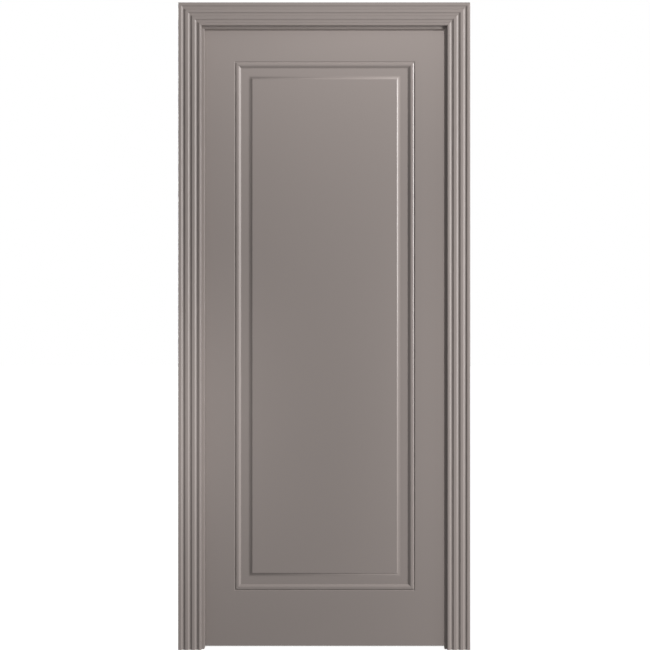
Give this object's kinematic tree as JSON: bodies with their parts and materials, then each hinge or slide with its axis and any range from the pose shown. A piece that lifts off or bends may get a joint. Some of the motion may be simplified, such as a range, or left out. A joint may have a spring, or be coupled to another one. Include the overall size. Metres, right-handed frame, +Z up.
{
  "type": "interior door",
  "caption": "Painted interior door set: a leaf with one tall raised panel, hung in a rebated frame with fluted, mitred casings.",
  "frame": {"origin": "middle of the doorway at floor level, halfway through the wall; also the centre of the set's footprint", "axes": "+Z up, -Y out of the front (push side, fluted casing), +X to the right seen from the front"},
  "size_m": [0.934, 0.098, 2.07],
  "materials": {
    "satin_paint": "satin enamel paint, warm grey",
    "satin_steel": "satin"
  },
  "bodies": {
    "frame": {"casing_left": "satin_paint", "casing_right": "satin_paint", "casing_head": "satin_paint", "jamb_left": "satin_paint", "jamb_right": "satin_paint", "head_jamb": "satin_paint", "back_casing_left": "satin_paint", "back_casing_right": "satin_paint", "back_casing_head": "satin_paint", "hinge_frame_wing_1": "satin_steel", "hinge_frame_wing_2": "satin_steel", "hinge_frame_wing_3": "satin_steel"},
    "leaf": {"hinge_stile": "satin_paint", "lock_stile": "satin_paint", "top_rail": "satin_paint", "bottom_rail": "satin_paint", "raised_panel": "satin_paint", "bead_front_left": "satin_paint", "bead_front_right": "satin_paint", "bead_front_top": "satin_paint", "bead_front_bottom": "satin_paint", "bead_back_left": "satin_paint", "bead_back_right": "satin_paint", "bead_back_top": "satin_paint", "bead_back_bottom": "satin_paint", "hinge_leaf_wing_1": "satin_steel", "hinge_leaf_wing_2": "satin_steel", "hinge_leaf_wing_3": "satin_steel"}
  },
  "joints": [
    {"name": "leaf_swing", "type": "hinge", "parent": "frame", "child": "leaf", "pos_m": [-0.4015, 0.042, 1.003], "axis": [0, 0, 1], "range_deg": [0, 170]}
  ]
}
